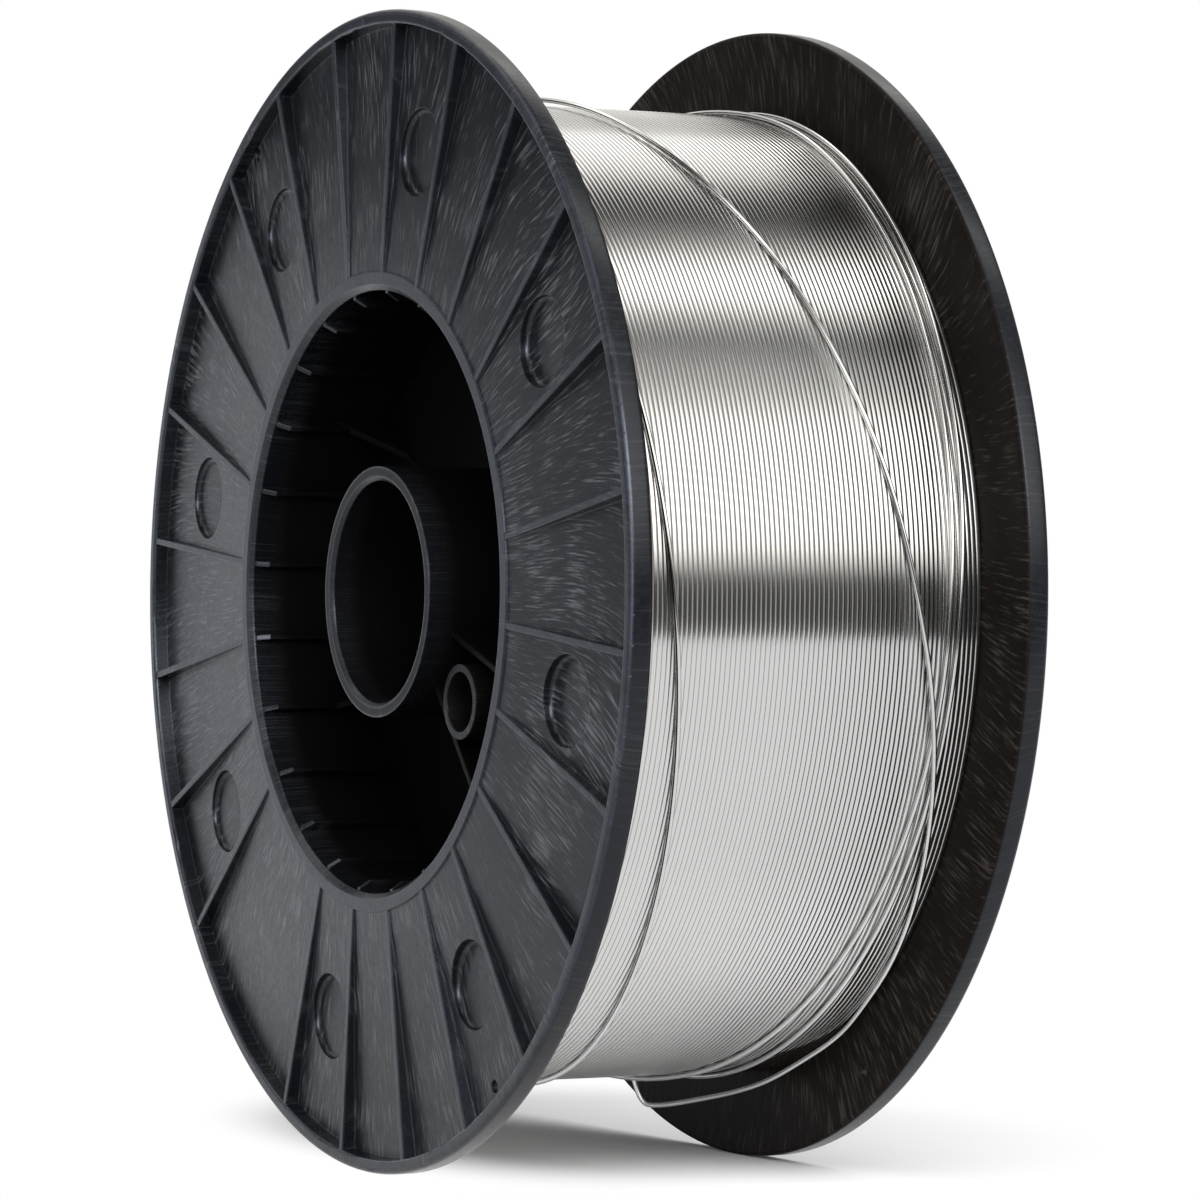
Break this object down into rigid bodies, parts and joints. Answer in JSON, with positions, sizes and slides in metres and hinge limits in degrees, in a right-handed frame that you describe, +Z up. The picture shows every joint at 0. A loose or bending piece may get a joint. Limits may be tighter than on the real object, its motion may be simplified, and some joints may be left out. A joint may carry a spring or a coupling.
{
  "type": "welding wire spool",
  "caption": "Flanged black plastic spool wound full of bright steel welding wire, standing on the rims of its two ribbed flanges.",
  "frame": {"origin": "centre of the spool, on its axis and midway between the outer faces of its two flanges", "axes": "+Y along the spool's axis from the front flange to the back flange, +Z up as the spool stands on its rims"},
  "size_m": [0.27, 0.103, 0.27],
  "materials": {
    "spool_plastic": "moulded black plastic, scuffed",
    "wire_steel": "bright drawn wire"
  },
  "bodies": {
    "root": {"front_spool_half": "spool_plastic", "back_spool_half": "spool_plastic", "wire_winding": "wire_steel", "wire_end": "wire_steel"}
  },
  "joints": []
}
